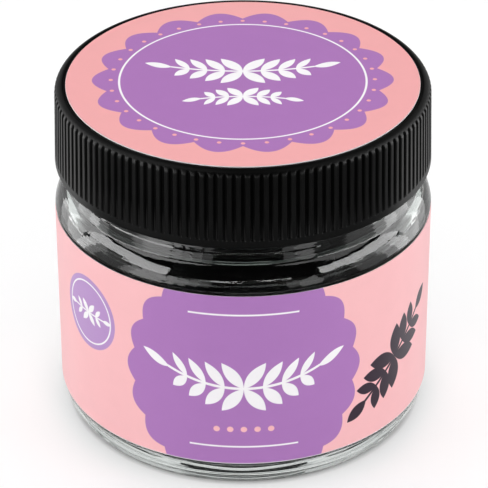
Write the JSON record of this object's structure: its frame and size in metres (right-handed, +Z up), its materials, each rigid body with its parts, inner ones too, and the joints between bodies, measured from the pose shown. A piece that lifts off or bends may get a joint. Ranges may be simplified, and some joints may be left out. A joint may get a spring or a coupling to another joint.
{
  "type": "glass jar of dried beans with a screw lid",
  "caption": "Squat clear-glass jar of dried beans, with a ribbed black screw lid, a wrap label and a round lid label.",
  "frame": {"origin": "centre of the base, on the surface that the jar stands on", "axes": "+Z up along the jar's axis, -Y towards the front of the wrap label, +X to the front's right"},
  "size_m": [0.0734, 0.0734, 0.0695],
  "materials": {
    "clear_glass": "polished",
    "wrap_paper": "satin print",
    "dried_bean": "wrinkled",
    "black_plastic": "satin moulded",
    "foam_liner": "matt",
    "lid_paper": "satin print"
  },
  "bodies": {
    "jar": {"glass_jar": "clear_glass", "wrap_label": "wrap_paper", "tonka_beans": "dried_bean"},
    "liner": {"lid_liner": "foam_liner"},
    "lid": {"lid_shell": "black_plastic", "lid_label": "lid_paper"}
  },
  "joints": [
    {"name": "lid_rise", "type": "slide", "parent": "jar", "child": "liner", "axis": [0, 0, 1], "range_m": [0, 0.00477]},
    {"name": "lid_turn", "type": "hinge", "parent": "liner", "child": "lid", "pos_m": [0, 0, 0.0575], "axis": [0, 0, 1], "range_deg": [0, 405]}
  ],
  "couplings": [
    {"joint": "lid_rise", "follows": "lid_turn", "m_per_rad": 0.00067376}
  ]
}
